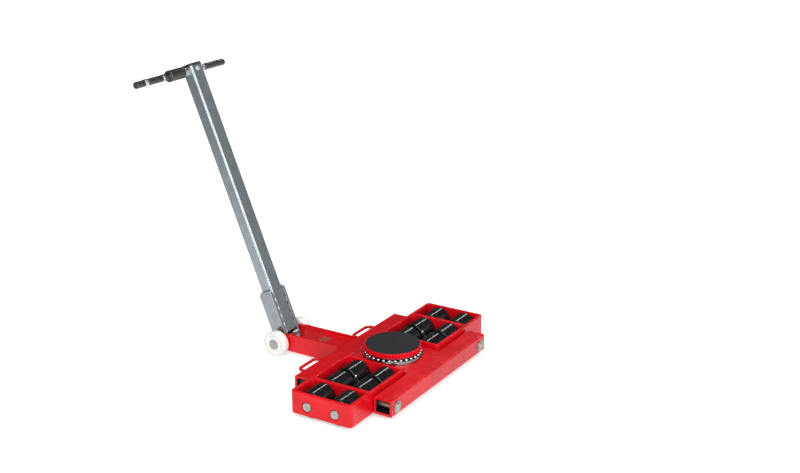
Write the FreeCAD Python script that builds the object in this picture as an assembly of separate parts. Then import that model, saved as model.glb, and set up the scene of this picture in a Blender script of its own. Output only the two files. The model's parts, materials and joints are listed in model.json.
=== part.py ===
import FreeCAD, Part
import math
import os

V = FreeCAD.Vector

# Frame: origin at the centre of the load pad's top face, +X to the right-hand roller unit,
# +Y towards the tow bar, +Z up. Heights below are given above the floor and shifted by HEIGHT.

RUN = 0.05                # radial running clearance of a shaft in its bore
GAP = 0.3                 # clearance between pieces that move past each other
PLATE_EDGE = 1.2          # rounding of flame-cut plate edges

# turntable
PAD_D = 170.0
PAD_T = 3.5
PLATE_RIM = 4.0           # red rim left visible round the pad
PLATE_D = PAD_D + 2 * PLATE_RIM
PLATE_T = 15.0
RACE_R = PLATE_D / 2.0 + 5.0
LOWER_RACE_T = 10.5
UPPER_RACE_T = 6.5
RACE_SLOT = 4.5           # open slot between the two races, where the balls show
RACE_SHOULDER = 7.5       # lower race outside the ball circle
BALL_D = 11.0
BALL_N = 30
BALL_R = RACE_R - RACE_SHOULDER
CAGE_T = 3.0
CAGE_W = 8.0
CAGE_FINGER = 1.6
KING_D = 40.0
BUSH_WALL = 3.0
KING_BUSH_D = KING_D + 10.0
KING_HEAD_D = KING_D + 20.0
KING_HEAD_T = 8.0
KING_SEAT = 4.0           # plate left above the king pin's end
SCREW_N = 6
SCREW_D = 8.0
SCREW_R = BALL_R - 16.5
RACE_IN_R = SCREW_R - 10.0

# bolster between the beams
BOLSTER_W = 2 * (RACE_R + 4.0)
BOLSTER_T = 20.0
RIB_T = 12.0
RIB_X = BOLSTER_W / 2.0 - 22.0
BOSS_D = KING_BUSH_D + 26.0
BOSS_T = 10.0             # boss below the bolster plate

# rollers and roller units
ROLLER_D = 84.0
ROLLER_LEN = 78.0
ROLLER_EDGE = 4.0
ROW_GAP = 13.0            # between the front and rear rollers
SIDE_GAP = 4.5            # roller to side wall
END_GAP = 6.0             # outer roller to its end walls
INNER_GAP = 3.5           # inner rollers to their end walls
ROLLER_PITCH = ROLLER_D + ROW_GAP
AXLE_D = 28.0
AXLE_H = ROLLER_D / 2.0
UNIT_WALL = 11.0
UNIT_IN_WALL = 8.0
UNIT_CLEAR = 6.0          # room for the rocking unit beside the bolster
UNIT_CORNER = 12.0
UNIT_EDGE = 2.0           # rounding of the frame's upper and lower edges
UNIT_BOTTOM = 13.0
UNIT_TOP = ROLLER_D       # level with the tops of the rollers
DIVIDER_T = 15.0
DIVIDER_DROP = 1.0
WEB_T = 6.0
WEB_TOP = AXLE_H + 18.0
RING_D = AXLE_D + 6.0     # counterbore round an axle end
RING_DEPTH = 5.0
UNIT_IN = BOLSTER_W / 2.0 + UNIT_CLEAR
DIVIDER_X = UNIT_IN + UNIT_IN_WALL + 2 * ROLLER_LEN + WEB_T + 4 * INNER_GAP
UNIT_OUT = DIVIDER_X + DIVIDER_T + ROLLER_LEN + 2 * END_GAP + UNIT_WALL
UNIT_W = ROLLER_PITCH + ROLLER_D + 2 * (SIDE_GAP + UNIT_WALL)

# the two hollow beams
BEAM_GAP = 4.0            # roller unit to beam
BEAM_W = 62.0
BEAM_BOTTOM = 15.0
BEAM_H = 55.0
BEAM_WALL = 7.5
BEAM_EDGE = 4.5
BEAM_IN_EDGE = 1.5
BEAM_IN = UNIT_W / 2.0 + BEAM_GAP
BEAM_OUT = BEAM_IN + BEAM_W
BEAM_TOP = BEAM_BOTTOM + BEAM_H
BEAM_LEN = 2 * DIVIDER_X
HEIGHT = BEAM_TOP + LOWER_RACE_T + RACE_SLOT + UPPER_RACE_T + PLATE_T + PAD_T    # floor to top of load pad
BOSS_BOTTOM = BEAM_TOP - BOLSTER_T - BOSS_T

# pivots on which the units rock
PIN_SHIFT = 3.5           # pivot outboard of the unit's middle
PIN_X = (UNIT_OUT + UNIT_IN) / 2.0 + PIN_SHIFT
PIN_DROP = 2.0            # pivot below the roller axles
PIN_H = AXLE_H - PIN_DROP
PIN_D = 24.0
PIN_PROUD = 6.0
PIN_RING_D = PIN_D + 12.0
PIN_RING_T = 3.0
PIN_BOSS_D = PIN_D + 18.0

# tow bar, drawn upright from its pivot and then leaned forward
LEAN = 22.3
TUBE_W = 57.0
TUBE_DEPTH = 44.0
TUBE_WALL = 3.0
TUBE_EDGE = 9.0
TUBE_REAR = -TUBE_DEPTH / 2.0
TUBE_END = 931.0
CAP_PLATE_T = 9.0
CAP_EDGE = 4.0
FORK_W = 50.0
FORK_SHIFT = 1.75         # fork's middle forward of the pivot
FORK_T = 10.0
FORK_TOP = 168.0
FORK_FRONT_CORNER = 10.0
FORK_REAR_CORNER = 5.0
FORK_TUBE_D = 32.0
TUBE_FOOT = 3.0           # tube's lower end clear of the fork tube
TUBE_START = FORK_TUBE_D / 2.0 + TUBE_FOOT
HANDLE_DROP = 12.0        # handle's axis below the end of the tube
HANDLE_H = TUBE_END - HANDLE_DROP
BAR_D = 16.0
SLEEVE_D = 37.0
SLEEVE_LEN = 70.0
SLEEVE_ROUND = 4.0
GRIP_D = BAR_D + 6.0
GRIP_ROUND = 3.0
SLEEVE_NECK_D = GRIP_D + 1.0
COLLAR_D = GRIP_D + 2.0
OUTER_COLLAR_LEN = 13.0
INNER_COLLAR_LEN = 6.0
TUBE_COLLAR_LEN = 24.0    # collar between the sleeve and the tube
TUBE_COLLAR_D = COLLAR_D + 6.0
NEAR_GRIP_LEN = 70.0
END_GRIP_LEN = 38.0
END_WALL = 4.0            # closed end of a grip
FAR_START = 26.0          # far grip's distance from the tube
FAR_GRIP_LEN = 99.0
NECK_LEN = 24.0
SLEEVE_IN = TUBE_W / 2.0 + TUBE_COLLAR_LEN
NECK_END = SLEEVE_IN + SLEEVE_LEN + NECK_LEN
COLLAR_2 = NECK_END + INNER_COLLAR_LEN
COLLAR_1 = COLLAR_2 + NEAR_GRIP_LEN + OUTER_COLLAR_LEN
NEAR_END = COLLAR_1 + END_GRIP_LEN
FAR_END = TUBE_W / 2.0 + FAR_START + FAR_GRIP_LEN
BOLT_HEAD = 13.0
BOLT_HEAD_T = 5.0
BOLT_D = 8.0

# drawbar
WALL_T = 6.0
FORK_GAP = 5.5            # room for a spacer between fork and wall
WALL_OUT = TUBE_W / 2.0 + FORK_T + FORK_GAP + WALL_T
WALL_BOTTOM = BEAM_BOTTOM
WALL_TOP = BEAM_TOP + 4.0
WALL_NOSE = 28.0
NOSE_TAPER = 40.0         # length over which the wall narrows to its nose
NOSE_UNDER = 24.0
DRAWBAR_LEN = 229.0
PIVOT_Y = BEAM_OUT + DRAWBAR_LEN
TOP_PLATE_H = BEAM_TOP - 8.0
TOP_PLATE_T = 6.0
FORK_ROOM = 116.0         # room behind the pivot for the folded fork
TOP_PLATE_END = PIVOT_Y - FORK_ROOM
TOP_PLATE_BEND = 5.0
LIP_DEPTH = 26.0
LABEL_SIZE = 38.0
LABEL_DEEP = 32.0
LABEL_T = 1.0
LABEL_SHIFT = 29.0        # label forward of the top plate's middle
LABEL_Y = (BEAM_OUT + TOP_PLATE_END) / 2.0 + LABEL_SHIFT

# support wheels
WHEEL_D = 84.0
WHEEL_W = 28.0
WHEEL_RIM = 6.0
WHEEL_AXLE_D = 20.0
PIVOT_H = WHEEL_D / 2.0
WHEEL_IN = WALL_OUT + 4.0
WHEEL_OUT = WHEEL_IN + WHEEL_W
DISH_RIM = 10.0
DISH_DEPTH = 3.0
HUB_D = 38.0
CAP_D = 32.0
CAP_T = 4.0
CAP_END = 2.5             # end wall of an axle cap
CAP_ROUND = 1.5

# grab loops on the front beam
LOOP_D = 10.0
LOOP_INSET = 54.0         # from the drawbar wall
LOOP_X0 = WALL_OUT + LOOP_INSET
LOOP_LEN = 97.0
LOOP_X1 = LOOP_X0 + LOOP_LEN
LOOP_REACH = 50.0
LOOP_OUT = BEAM_OUT + LOOP_REACH
LOOP_H = (BEAM_BOTTOM + BEAM_TOP) / 2.0 + 1.0
LOOP_BEND = 18.0


def box(x0, x1, y0, y1, h0, h1):
    corner = V(min(x0, x1), min(y0, y1), min(h0, h1) - HEIGHT)
    return Part.makeBox(abs(x1 - x0), abs(y1 - y0), abs(h1 - h0), corner)


def cyl_x(d, x0, x1, y, h):
    return Part.makeCylinder(d / 2.0, abs(x1 - x0), V(min(x0, x1), y, h - HEIGHT), V(1, 0, 0))


def cyl_y(d, y0, y1, x, h):
    return Part.makeCylinder(d / 2.0, abs(y1 - y0), V(x, min(y0, y1), h - HEIGHT), V(0, 1, 0))


def cyl_z(d, h0, h1, x=0.0, y=0.0):
    return Part.makeCylinder(d / 2.0, abs(h1 - h0), V(x, y, min(h0, h1) - HEIGHT), V(0, 0, 1))


def ring_z(d_out, d_in, h0, h1):
    return cyl_z(d_out, h0, h1).cut(cyl_z(d_in, h0 - 1, h1 + 1))


def edges_along(shape, axis):
    found = []
    for e in shape.Edges:
        if len(e.Vertexes) < 2:
            continue
        d = e.Vertexes[1].Point - e.Vertexes[0].Point
        if d.Length < 1e-6:
            continue
        if abs(abs(d.dot(axis)) / d.Length - 1.0) < 1e-6:
            found.append(e)
    return found


def rounded_box(x0, x1, y0, y1, h0, h1, axis, radius):
    b = box(x0, x1, y0, y1, h0, h1)
    return b.makeFillet(radius, edges_along(b, axis))


def round_rims(shape, radius, test):
    rims = [e for e in shape.Edges if e.Closed and test(e)]
    return shape.makeFillet(radius, rims)


def save(name, shapes):
    if isinstance(shapes, list):
        solids = []
        for s in shapes:
            solids += s.Solids
        out = Part.makeCompound(solids)
    else:
        out = shapes
    out.exportStep("parts/" + name + ".step")


def beam(sign):
    y0 = sign * BEAM_IN
    y1 = sign * BEAM_OUT
    half = BEAM_LEN / 2.0
    shell = rounded_box(-half, half, y0, y1, BEAM_BOTTOM, BEAM_TOP, V(1, 0, 0), BEAM_EDGE)
    hollow = rounded_box(-half - 1, half + 1, y0 + sign * BEAM_WALL, y1 - sign * BEAM_WALL,
                         BEAM_BOTTOM + BEAM_WALL, BEAM_TOP - BEAM_WALL, V(1, 0, 0),
                         BEAM_IN_EDGE)
    shell = shell.cut(hollow)
    for side in (-1, 1):
        shell = shell.cut(cyl_y(PIN_D, y0 - sign * 1, y1 + sign * 1, side * PIN_X, PIN_H))
    return shell


def pivot_pin(side, sign):
    inner = sign * (UNIT_W / 2.0 - UNIT_WALL)
    outer = sign * (BEAM_OUT + PIN_PROUD)
    pin = cyl_y(PIN_D, inner, outer, side * PIN_X, PIN_H)
    rims = [e for e in pin.Edges if e.Closed and abs(e.CenterOfMass.y - outer) < 0.01]
    return pin.makeChamfer(1.5, rims)


def pin_ring(side, sign):
    outer = sign * BEAM_OUT
    ring = cyl_y(PIN_RING_D, outer, outer + sign * PIN_RING_T, side * PIN_X, PIN_H)
    return ring.cut(cyl_y(PIN_D, outer - sign, outer + sign * (PIN_RING_T + 1), side * PIN_X, PIN_H))


def pin_boss(side, sign):
    y0 = sign * (UNIT_W / 2.0 + GAP)
    y1 = sign * BEAM_IN
    boss = cyl_y(PIN_BOSS_D, y0, y1, side * PIN_X, PIN_H)
    return boss.cut(cyl_y(PIN_D, y0 - sign, y1 + sign, side * PIN_X, PIN_H))


def bolster():
    half = BOLSTER_W / 2.0
    top = box(-half, half, -BEAM_IN, BEAM_IN, BEAM_TOP - BOLSTER_T, BEAM_TOP)
    body = top
    for side in (-1, 1):
        x = side * RIB_X
        rib = box(x - RIB_T / 2.0, x + RIB_T / 2.0, -BEAM_IN, BEAM_IN, BEAM_BOTTOM + 4,
                  BEAM_TOP - BOLSTER_T + 1)
        body = body.fuse(rib)
    body = body.fuse(cyl_z(BOSS_D, BOSS_BOTTOM, BEAM_TOP - BOLSTER_T + 1))
    body = body.cut(cyl_z(KING_BUSH_D, BOSS_BOTTOM - 1, BEAM_TOP + 1))
    for k in range(SCREW_N):
        a = 2.0 * math.pi * (k + 0.5) / SCREW_N
        hole = cyl_z(SCREW_D, BEAM_TOP - BOLSTER_T - 1, BEAM_TOP + 1, SCREW_R * math.cos(a),
                     SCREW_R * math.sin(a))
        body = body.cut(hole)
    return body.removeSplitter()


def race_screw(k):
    a = 2.0 * math.pi * (k + 0.5) / SCREW_N
    x = SCREW_R * math.cos(a)
    y = SCREW_R * math.sin(a)
    under = BEAM_TOP - BOLSTER_T
    head = cyl_z(SCREW_D * 1.6, under - SCREW_D * 0.9, under, x, y)
    return head.fuse(cyl_z(SCREW_D, under, BEAM_TOP, x, y)).removeSplitter()


def race(upper):
    if upper:
        h1 = HEIGHT - PAD_T - PLATE_T
        h0 = h1 - UPPER_RACE_T
    else:
        h0 = BEAM_TOP
        h1 = h0 + LOWER_RACE_T
    outer = PLATE_D / 2.0 - GAP if upper else RACE_R
    ring = ring_z(2 * outer, 2 * RACE_IN_R, h0, h1)
    track = Part.makeTorus(BALL_R, BALL_D / 2.0 + GAP, V(0, 0, ball_height() - HEIGHT), V(0, 0, 1))
    return ring.cut(track)


def ball_height():
    return BEAM_TOP + LOWER_RACE_T + RACE_SLOT / 2.0


def balls():
    out = []
    for k in range(BALL_N):
        a = 2.0 * math.pi * k / BALL_N
        place = V(BALL_R * math.cos(a), BALL_R * math.sin(a), ball_height() - HEIGHT)
        out.append(Part.makeSphere(BALL_D / 2.0, place))
    return out


def cage():
    h0 = ball_height() - CAGE_T / 2.0
    inner_edge = BALL_R - BALL_D / 2.0 - GAP
    ring = ring_z(2 * inner_edge, 2 * (inner_edge - CAGE_W), h0, h0 + CAGE_T)
    fingers = []
    for k in range(BALL_N):
        a = 360.0 * (k + 0.5) / BALL_N
        half = CAGE_FINGER / 2.0
        f = box(inner_edge - CAGE_W / 2.0, BALL_R + 2.0, -half, half, h0, h0 + CAGE_T)
        f.rotate(V(0, 0, 0), V(0, 0, 1), a)
        fingers.append(f)
    return ring.multiFuse(fingers).removeSplitter()


def turntable_plate():
    top = HEIGHT - PAD_T
    plate = cyl_z(PLATE_D, top - PLATE_T, top)
    plate = plate.cut(cyl_z(KING_D, top - PLATE_T - 1, top - KING_SEAT))
    return round_rims(plate, 2.0, lambda e: abs(e.BoundBox.ZMax - (top - HEIGHT)) < 0.01
                      and e.BoundBox.XLength > PLATE_D - 1)


def load_pad():
    pad = cyl_z(PAD_D, HEIGHT - PAD_T, HEIGHT)
    return round_rims(pad, 1.0, lambda e: abs(e.BoundBox.ZMax) < 0.01)


def king_pin():
    return cyl_z(KING_D, BOSS_BOTTOM - KING_HEAD_T - 4.0, HEIGHT - PAD_T - KING_SEAT)


def king_nut():
    top = BOSS_BOTTOM - GAP
    nut = cyl_z(KING_HEAD_D, top - KING_HEAD_T, top)
    return nut.cut(cyl_z(KING_D, top - KING_HEAD_T - 1, top + 1))


def king_bush():
    bush = cyl_z(KING_BUSH_D, BOSS_BOTTOM, BEAM_TOP)
    return bush.cut(cyl_z(KING_D + 2 * RUN, BOSS_BOTTOM - 1, BEAM_TOP + 1))


def unit_frame(side):
    w = UNIT_W / 2.0
    xo = side * UNIT_OUT
    xi = side * UNIT_IN
    shell = rounded_box(xo, xi, -w, w, UNIT_BOTTOM, UNIT_TOP, V(0, 0, 1), UNIT_CORNER)
    hollow = rounded_box(xo - side * UNIT_WALL, xi + side * UNIT_IN_WALL, -w + UNIT_WALL,
                         w - UNIT_WALL, UNIT_BOTTOM - 1, UNIT_TOP + 1, V(0, 0, 1), 3.0)
    shell = shell.cut(hollow)
    flats = (UNIT_BOTTOM - HEIGHT, UNIT_TOP - HEIGHT)
    rims = [e for e in shell.Edges if e.BoundBox.ZLength < 1e-6
            and min(abs(e.BoundBox.ZMin - z) for z in flats) < 1e-6]
    shell = shell.makeFillet(UNIT_EDGE, rims)
    for sign in (-1, 1):
        y = sign * ROLLER_PITCH / 2.0
        shell = shell.cut(cyl_x(AXLE_D, xo + side, xi - side, y, AXLE_H))
        shell = shell.cut(cyl_x(RING_D, xo + side, xo - side * RING_DEPTH, y, AXLE_H))
        bush_d = PIN_D + 2 * BUSH_WALL
        hole = cyl_y(bush_d, sign * (w + 1), sign * (w - UNIT_WALL - 1), side * PIN_X, PIN_H)
        shell = shell.cut(hole)
    return shell


def cross_plate(side, x_in, thick, top):
    w = UNIT_W / 2.0 - UNIT_WALL
    plate = box(side * x_in, side * (x_in + thick), -w, w, UNIT_BOTTOM, top)
    upper = [e for e in edges_along(plate, V(0, 1, 0)) if e.CenterOfMass.z > top - HEIGHT - 0.01]
    plate = plate.makeFillet(UNIT_EDGE * 0.8, upper)
    for sign in (-1, 1):
        y = sign * ROLLER_PITCH / 2.0
        plate = plate.cut(cyl_x(AXLE_D, side * (x_in - 1), side * (x_in + thick + 1), y, AXLE_H))
    return plate


def unit_axle(side, sign):
    return cyl_x(AXLE_D, side * UNIT_OUT, side * UNIT_IN, sign * ROLLER_PITCH / 2.0, AXLE_H)


def pin_bush(side, sign):
    w = UNIT_W / 2.0
    y0 = sign * (w - UNIT_WALL)
    y1 = sign * w
    bush = cyl_y(PIN_D + 2 * BUSH_WALL, y0, y1, side * PIN_X, PIN_H)
    return bush.cut(cyl_y(PIN_D + 2 * RUN, y0 - sign, y1 + sign, side * PIN_X, PIN_H))


def roller_centres():
    outer = (UNIT_OUT - UNIT_WALL + DIVIDER_X + DIVIDER_T) / 2.0
    web_mid = (DIVIDER_X + UNIT_IN + UNIT_IN_WALL) / 2.0
    second = (DIVIDER_X + web_mid + WEB_T / 2.0) / 2.0
    third = (web_mid - WEB_T / 2.0 + UNIT_IN + UNIT_IN_WALL) / 2.0
    return [outer, second, third]


def web_x():
    return (DIVIDER_X + UNIT_IN + UNIT_IN_WALL) / 2.0 - WEB_T / 2.0


def roller(side, sign, centre):
    y = sign * ROLLER_PITCH / 2.0
    x0 = side * centre - ROLLER_LEN / 2.0
    body = cyl_x(ROLLER_D, x0, x0 + ROLLER_LEN, y, AXLE_H)
    rims = [e for e in body.Edges if e.Closed and e.BoundBox.YLength > ROLLER_D - 1]
    body = body.makeFillet(ROLLER_EDGE, rims)
    return body.cut(cyl_x(AXLE_D + 2 * RUN, x0 - 1, x0 + ROLLER_LEN + 1, y, AXLE_H))


def drawbar_wall(side):
    x0 = side * (WALL_OUT - WALL_T)
    x1 = side * WALL_OUT
    nose = cyl_x(2 * WALL_NOSE, x0, x1, PIVOT_Y, PIVOT_H)
    block = box(x0, x1, PIVOT_Y - NOSE_TAPER, PIVOT_Y + WALL_NOSE, WALL_BOTTOM, WALL_TOP)
    keep = box(x0, x1, BEAM_OUT, PIVOT_Y - NOSE_TAPER, WALL_BOTTOM, WALL_TOP)
    slope = Part.makePolygon([V(x0, PIVOT_Y - NOSE_TAPER, WALL_BOTTOM - HEIGHT),
                              V(x0, PIVOT_Y - NOSE_TAPER, WALL_TOP - HEIGHT),
                              V(x0, PIVOT_Y, PIVOT_H + WALL_NOSE - HEIGHT),
                              V(x0, PIVOT_Y, PIVOT_H - NOSE_UNDER - HEIGHT),
                              V(x0, PIVOT_Y - NOSE_TAPER, WALL_BOTTOM - HEIGHT)])
    taper = Part.Face(slope).extrude(V(x1 - x0, 0, 0))
    wall = keep.fuse(taper).fuse(nose.common(block)).removeSplitter()
    outer = [e for e in wall.Edges if e.BoundBox.XLength < 1e-6 and e.BoundBox.YMin > BEAM_OUT - 0.01
             and e.BoundBox.YMax > BEAM_OUT + 0.01]
    wall = wall.makeFillet(PLATE_EDGE, outer)
    return wall.cut(cyl_x(WHEEL_AXLE_D, x0 - side, x1 + side, PIVOT_Y, PIVOT_H))


def drawbar_top_plate():
    half = WALL_OUT - WALL_T
    top = box(-half, half, BEAM_OUT, TOP_PLATE_END, TOP_PLATE_H - TOP_PLATE_T, TOP_PLATE_H)
    lip = box(-half, half, TOP_PLATE_END - TOP_PLATE_T, TOP_PLATE_END, TOP_PLATE_H - LIP_DEPTH,
              TOP_PLATE_H)
    bent = top.fuse(lip).removeSplitter()
    corner = [e for e in edges_along(bent, V(1, 0, 0))
              if abs(e.CenterOfMass.y - TOP_PLATE_END) < 0.01
              and abs(e.CenterOfMass.z - (TOP_PLATE_H - HEIGHT)) < 0.01]
    return bent.makeFillet(TOP_PLATE_BEND, corner)


def rating_plate():
    s = LABEL_SIZE / 2.0
    d = LABEL_DEEP / 2.0
    return rounded_box(-s, s, LABEL_Y - d, LABEL_Y + d, TOP_PLATE_H, TOP_PLATE_H + LABEL_T,
                       V(0, 0, 1), 3.0)


def grab_loop(side):
    z = LOOP_H - HEIGHT
    xa = side * LOOP_X0
    xb = side * LOOP_X1
    r = LOOP_BEND
    c = r * (1.0 - math.sqrt(0.5))
    path = [Part.makeLine(V(xa, BEAM_OUT, z), V(xa, LOOP_OUT - r, z)),
            Part.Arc(V(xa, LOOP_OUT - r, z), V(xa + side * c, LOOP_OUT - c, z),
                     V(xa + side * r, LOOP_OUT, z)).toShape(),
            Part.makeLine(V(xa + side * r, LOOP_OUT, z), V(xb - side * r, LOOP_OUT, z)),
            Part.Arc(V(xb - side * r, LOOP_OUT, z), V(xb - side * c, LOOP_OUT - c, z),
                     V(xb, LOOP_OUT - r, z)).toShape(),
            Part.makeLine(V(xb, LOOP_OUT - r, z), V(xb, BEAM_OUT, z))]
    ring = Part.Wire(Part.makeCircle(LOOP_D / 2.0, V(xa, BEAM_OUT, z), V(0, 1, 0)))
    return Part.Wire(path).makePipeShell([ring], True, False)


def wheel_axle():
    reach = WHEEL_OUT + GAP + CAP_T - CAP_END
    return cyl_x(WHEEL_AXLE_D, -reach, reach, PIVOT_Y, PIVOT_H)


def axle_cap(side):
    x0 = side * (WHEEL_OUT + GAP)
    cap = cyl_x(CAP_D, x0, x0 + side * CAP_T, PIVOT_Y, PIVOT_H)
    far = x0 + side * CAP_T
    rims = [e for e in cap.Edges if e.Closed and abs(e.CenterOfMass.x - far) < 0.01]
    cap = cap.makeFillet(CAP_ROUND, rims)
    return cap.cut(cyl_x(WHEEL_AXLE_D, x0 - side, x0 + side * (CAP_T - CAP_END), PIVOT_Y, PIVOT_H))


def fork_spacer(side):
    x0 = side * (TUBE_W / 2.0 + FORK_T + GAP)
    x1 = side * (WALL_OUT - WALL_T)
    ring = cyl_x(FORK_TUBE_D, x0, x1, PIVOT_Y, PIVOT_H)
    return ring.cut(cyl_x(WHEEL_AXLE_D, x0 - side, x1 + side, PIVOT_Y, PIVOT_H))


def support_wheel(side):
    x0 = side * WHEEL_IN
    x1 = side * WHEEL_OUT
    wheel = cyl_x(WHEEL_D, x0, x1, PIVOT_Y, PIVOT_H)
    rims = [e for e in wheel.Edges if e.Closed and e.BoundBox.YLength > WHEEL_D - 1]
    wheel = wheel.makeFillet(WHEEL_RIM, rims)
    groove_in = cyl_x(WHEEL_D - 2 * DISH_RIM, x1 + side, x1 - side * DISH_DEPTH, PIVOT_Y, PIVOT_H)
    groove_hub = cyl_x(HUB_D, x1 + side * 2, x1 - side * (DISH_DEPTH + 1), PIVOT_Y, PIVOT_H)
    wheel = wheel.cut(groove_in.cut(groove_hub))
    wheel = wheel.fuse(cyl_x(HUB_D, side * (WALL_OUT + GAP), x0, PIVOT_Y, PIVOT_H)).removeSplitter()
    bore = cyl_x(WHEEL_AXLE_D + 2 * RUN, side * WALL_OUT, x1 + side, PIVOT_Y, PIVOT_H)
    return wheel.cut(bore)


def leaned(shape):
    s = shape.copy()
    s.rotate(V(0, 0, 0), V(1, 0, 0), -LEAN)
    s.translate(V(0, PIVOT_Y, PIVOT_H - HEIGHT))
    return s


def bar_x(d, x0, x1):
    return Part.makeCylinder(d / 2.0, abs(x1 - x0), V(min(x0, x1), 0, HANDLE_H), V(1, 0, 0))


def tow_tube():
    w = TUBE_W / 2.0
    d = TUBE_DEPTH / 2.0
    outer = Part.makeBox(2 * w, 2 * d, TUBE_END - TUBE_START, V(-w, TUBE_REAR, TUBE_START))
    outer = outer.makeFillet(TUBE_EDGE, edges_along(outer, V(0, 0, 1)))
    wi = w - TUBE_WALL
    di = d - TUBE_WALL
    inner = Part.makeBox(2 * wi, 2 * di, TUBE_END - TUBE_START + 2,
                         V(-wi, TUBE_REAR + TUBE_WALL, TUBE_START - 1))
    inner = inner.makeFillet(TUBE_EDGE - TUBE_WALL, edges_along(inner, V(0, 0, 1)))
    tube = outer.cut(inner).cut(bar_x(BAR_D, -w - 1, w + 1))
    hole = Part.makeCylinder(BOLT_D / 2.0, TUBE_WALL + 2, V(0, TUBE_REAR - 1, HANDLE_H), V(0, 1, 0))
    return leaned(tube.cut(hole))


def tow_cap():
    w = TUBE_W / 2.0
    d = TUBE_DEPTH / 2.0
    cap = Part.makeBox(2 * w, 2 * d, CAP_PLATE_T, V(-w, TUBE_REAR, TUBE_END))
    cap = cap.makeFillet(TUBE_EDGE, edges_along(cap, V(0, 0, 1)))
    upper = [e for e in cap.Edges if e.BoundBox.ZMin > TUBE_END + CAP_PLATE_T - 0.01]
    return leaned(cap.makeFillet(CAP_EDGE, upper))


def fork_plate(side):
    x0 = side * TUBE_W / 2.0
    x1 = side * (TUBE_W / 2.0 + FORK_T)
    n = FORK_W / 2.0
    front = FORK_SHIFT + n
    rear = FORK_SHIFT - n
    cf = FORK_FRONT_CORNER
    cr = FORK_REAR_CORNER
    pts = [V(x0, rear, 0), V(x0, front, 0), V(x0, front, FORK_TOP - cf), V(x0, front - cf, FORK_TOP),
           V(x0, rear + cr, FORK_TOP), V(x0, rear, FORK_TOP - cr), V(x0, rear, 0)]
    plate = Part.Face(Part.makePolygon(pts)).extrude(V(x1 - x0, 0, 0))
    foot = Part.makeCylinder(n, FORK_T, V(min(x0, x1), FORK_SHIFT, 0), V(1, 0, 0))
    plate = plate.fuse(foot).removeSplitter()
    plate = plate.makeFillet(PLATE_EDGE, [e for e in plate.Edges if e.BoundBox.XLength < 1e-6])
    bore = Part.makeCylinder(WHEEL_AXLE_D / 2.0 + RUN, FORK_T + 2, V(min(x0, x1) - 1, 0, 0), V(1, 0, 0))
    return leaned(plate.cut(bore))


def fork_tube():
    w = TUBE_W / 2.0
    t = Part.makeCylinder(FORK_TUBE_D / 2.0, 2 * w, V(-w, 0, 0), V(1, 0, 0))
    bore = Part.makeCylinder(WHEEL_AXLE_D / 2.0 + RUN, 2 * w + 2, V(-w - 1, 0, 0), V(1, 0, 0))
    return leaned(t.cut(bore))


def handle_bar():
    return leaned(bar_x(BAR_D, -NEAR_END + END_WALL, FAR_END - END_WALL))


def near_grip(x_out, length, closed):
    body = bar_x(GRIP_D, -x_out, -x_out + length)
    rims = [e for e in body.Edges if e.Closed and abs(e.CenterOfMass.x + x_out) < 0.01]
    body = body.makeFillet(GRIP_ROUND, rims)
    start = -x_out + END_WALL if closed else -x_out - 1
    return leaned(body.cut(bar_x(BAR_D, start, -x_out + length + 1)))


def handle_collar(x_out, length, diameter):
    ring = bar_x(diameter, -x_out, -x_out + length)
    return leaned(ring.cut(bar_x(BAR_D, -x_out - 1, -x_out + length + 1)))


def handle_sleeve():
    thick = bar_x(SLEEVE_D, -SLEEVE_IN - SLEEVE_LEN, -SLEEVE_IN)
    thick = thick.makeFillet(SLEEVE_ROUND, [e for e in thick.Edges if e.Closed])
    neck = bar_x(SLEEVE_NECK_D, -NECK_END, -SLEEVE_IN - SLEEVE_LEN + SLEEVE_ROUND)
    body = thick.fuse(neck).removeSplitter()
    return leaned(body.cut(bar_x(BAR_D, -NECK_END - 1, -SLEEVE_IN + 1)))


def far_grip():
    x0 = FAR_END - FAR_GRIP_LEN
    body = bar_x(GRIP_D, x0, FAR_END)
    rims = [e for e in body.Edges if e.Closed]
    body = body.makeFillet(GRIP_ROUND, rims)
    return leaned(body.cut(bar_x(BAR_D, x0 - 1, FAR_END - END_WALL)))


def handle_bolt():
    head = Part.makeCylinder(BOLT_HEAD / 2.0, BOLT_HEAD_T, V(0, TUBE_REAR - BOLT_HEAD_T, HANDLE_H),
                             V(0, 1, 0))
    shank = Part.makeCylinder(BOLT_D / 2.0, TUBE_DEPTH / 2.0, V(0, TUBE_REAR, HANDLE_H), V(0, 1, 0))
    bolt = head.fuse(shank).removeSplitter()
    return leaned(bolt.cut(bar_x(BAR_D, -TUBE_W / 2.0, TUBE_W / 2.0)))


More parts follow.
